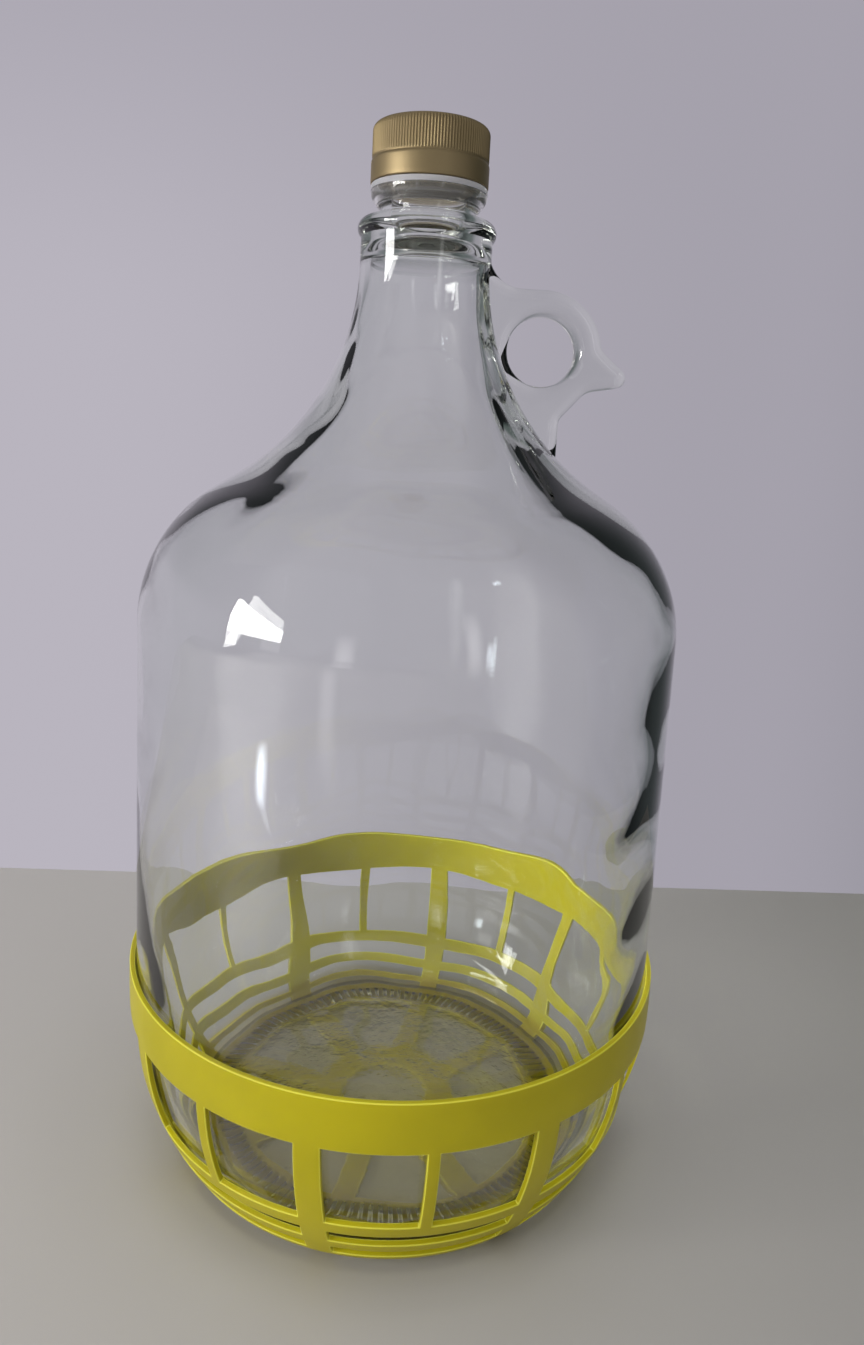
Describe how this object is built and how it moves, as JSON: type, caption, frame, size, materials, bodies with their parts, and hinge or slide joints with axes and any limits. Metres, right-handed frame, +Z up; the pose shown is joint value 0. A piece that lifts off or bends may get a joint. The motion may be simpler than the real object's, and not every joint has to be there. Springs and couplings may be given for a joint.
{
  "type": "demijohn bottle",
  "caption": "Clear glass demijohn with a finger loop beside its neck and a ribbed screw cap, standing in an open plastic carrying basket.",
  "frame": {"origin": "on the bottle's axis, at the table, under the middle of the basket", "axes": "+Z up along the bottle's axis, +X towards the finger loop, front at -Y"},
  "size_m": [0.1844, 0.1844, 0.3452],
  "materials": {
    "bottle": "clear, smooth",
    "basket": "satin yellow plastic",
    "collar": "translucent plastic",
    "cap": "satin gold",
    "liner": "soft white plastic"
  },
  "bodies": {
    "vessel": {"bottle": "bottle", "basket": "basket", "collar": "collar"},
    "lift": {"liner": "liner"},
    "closure": {"cap": "cap"}
  },
  "joints": [
    {"name": "cap_rise", "type": "slide", "parent": "vessel", "child": "lift", "axis": [0, 0, 1], "range_m": [0, 0.00635]},
    {"name": "cap_turn", "type": "hinge", "parent": "lift", "child": "closure", "pos_m": [0, 0, 0.336], "axis": [0, 0, 1], "range_deg": [0, 540]}
  ],
  "couplings": [
    {"joint": "cap_rise", "follows": "cap_turn", "m_per_rad": 0.0006737}
  ]
}
